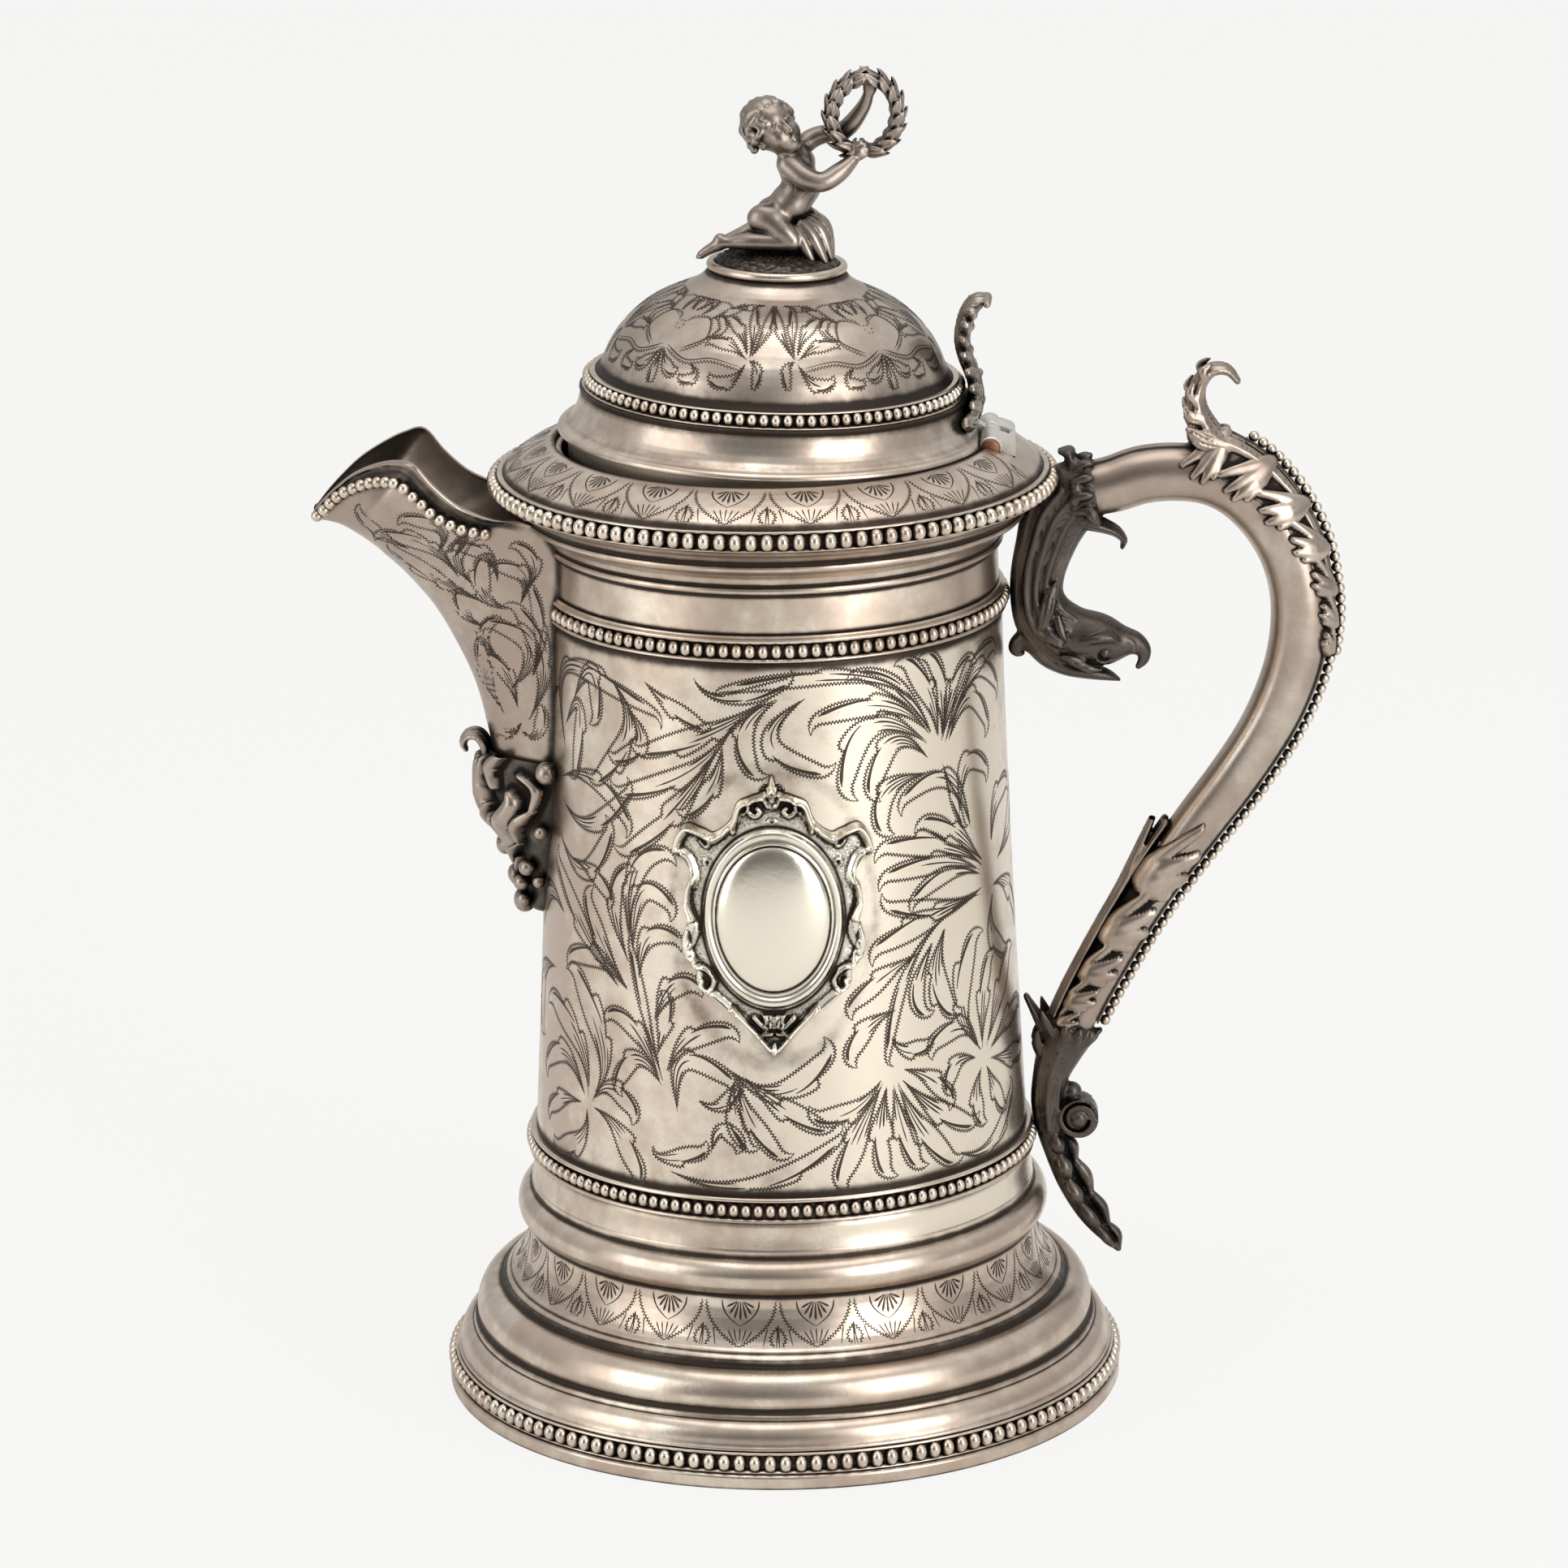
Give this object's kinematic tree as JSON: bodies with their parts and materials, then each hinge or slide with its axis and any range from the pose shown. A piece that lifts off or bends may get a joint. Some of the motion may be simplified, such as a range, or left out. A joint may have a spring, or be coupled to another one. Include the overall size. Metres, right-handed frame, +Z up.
{
  "type": "covered serving pitcher",
  "caption": "Tall covered serving pitcher with a beaked open spout, tubular scroll handle, hinged domed lid, beaded bands and a small kneeling figure with a wreath on top.",
  "frame": {"origin": "centre of the foot's annular underside, at table level", "axes": "+Z up along the pot's axis, spout towards -X, handle and hinge towards +X, badge towards -Y"},
  "size_m": [0.2496, 0.1682, 0.3267],
  "materials": {
    "silver_plate": "old silver plate, warm grey, dulled, with dark tarnish in the hollows",
    "engraved_plate": "old silver plate engraved with scrolls and borders, lines blackened",
    "bead_plate": "silver-plated beads, polished tops and black tarnish between them",
    "cast_plate": "cast and chased silver plate, rubbed on its high points",
    "tarnished_casting": "cast silver plate almost wholly darkened, rubbed bright on the edges",
    "hinge_metal": "bare whitish grey base metal, soldered, dull",
    "copper_pin": "copper pin with peened brown ends",
    "stud_metal": "plain threaded copper alloy"
  },
  "bodies": {
    "pot": {"foot": "engraved_plate", "foot_bead_rim": "bead_plate", "barrel": "engraved_plate", "barrel_floor": "silver_plate", "lower_bead_band": "bead_plate", "upper_bead_band": "bead_plate", "collar": "silver_plate", "shoulder_bead_rim": "bead_plate", "shoulder": "engraved_plate", "mouth_bezel": "silver_plate", "spout_shell": "engraved_plate", "spout_lip_beads": "bead_plate", "spout_leaf_drop": "cast_plate", "badge_plate": "cast_plate", "badge_ring": "cast_plate", "badge_boss": "cast_plate", "handle_tube": "silver_plate", "handle_bead_spine": "bead_plate", "handle_top_leaf": "cast_plate", "handle_lower_leaf": "cast_plate", "upper_bracket": "tarnished_casting", "lower_bracket": "tarnished_casting", "body_hinge_leaf": "hinge_metal", "hinge_pin": "copper_pin"},
    "lid": {"lid_flange": "silver_plate", "lid_bezel": "silver_plate", "lid_bead_ring": "bead_plate", "lid_dome": "engraved_plate", "lid_hinge_leaf": "hinge_metal", "thumbpiece": "cast_plate", "finial_disc": "cast_plate", "finial_mound": "tarnished_casting", "finial_stud": "stud_metal", "finial_nut": "hinge_metal", "figure": "cast_plate", "wreath": "cast_plate"}
  },
  "joints": [
    {"name": "lid_hinge", "type": "hinge", "parent": "pot", "child": "lid", "pos_m": [0.0523, 0, 0.2382], "axis": [0, 1, 0], "range_deg": [-2.2, 83]}
  ]
}
